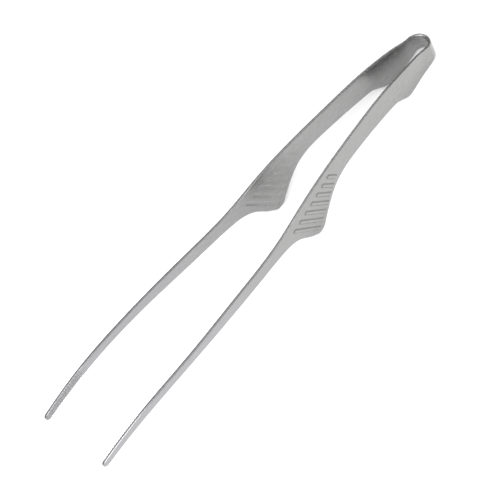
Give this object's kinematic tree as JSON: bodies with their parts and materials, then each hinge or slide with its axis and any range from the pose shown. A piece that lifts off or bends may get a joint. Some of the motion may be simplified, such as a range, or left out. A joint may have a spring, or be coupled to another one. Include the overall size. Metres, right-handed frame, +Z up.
{
  "type": "print tongs",
  "caption": "One-piece sprung steel tongs for lifting wet photographic prints: narrow bow, ribbed finger bumps that also stand it on the table, slender arms and rounded serrated tips.",
  "frame": {"origin": "on the table that the tongs lie on, under the middle of their bounding box", "axes": "+X from the spring bow to the tips, +Y across to the left arm, +Z up from the table"},
  "size_m": [0.2395, 0.0342, 0.0421],
  "materials": {
    "strip_steel": "satin, fine grain along the strip"
  },
  "bodies": {
    "spring_bow": {"spring_bow": "strip_steel"},
    "left_arm": {"left_arm": "strip_steel"},
    "right_arm": {"right_arm": "strip_steel"}
  },
  "joints": [
    {"name": "left_squeeze", "type": "hinge", "parent": "spring_bow", "child": "left_arm", "pos_m": [-0.11136, 0.005, 0.0075], "axis": [0.2113, 0, 0.9774], "range_deg": [-3.97, 0], "stiffness_Nm_per_rad": 4},
    {"name": "right_squeeze", "type": "hinge", "parent": "spring_bow", "child": "right_arm", "pos_m": [-0.11136, -0.005, 0.0075], "axis": [0.2113, 0, 0.9774], "range_deg": [0, 3.97], "stiffness_Nm_per_rad": 4}
  ],
  "couplings": [
    {"joint": "right_squeeze", "follows": "left_squeeze", "ratio": -1}
  ]
}
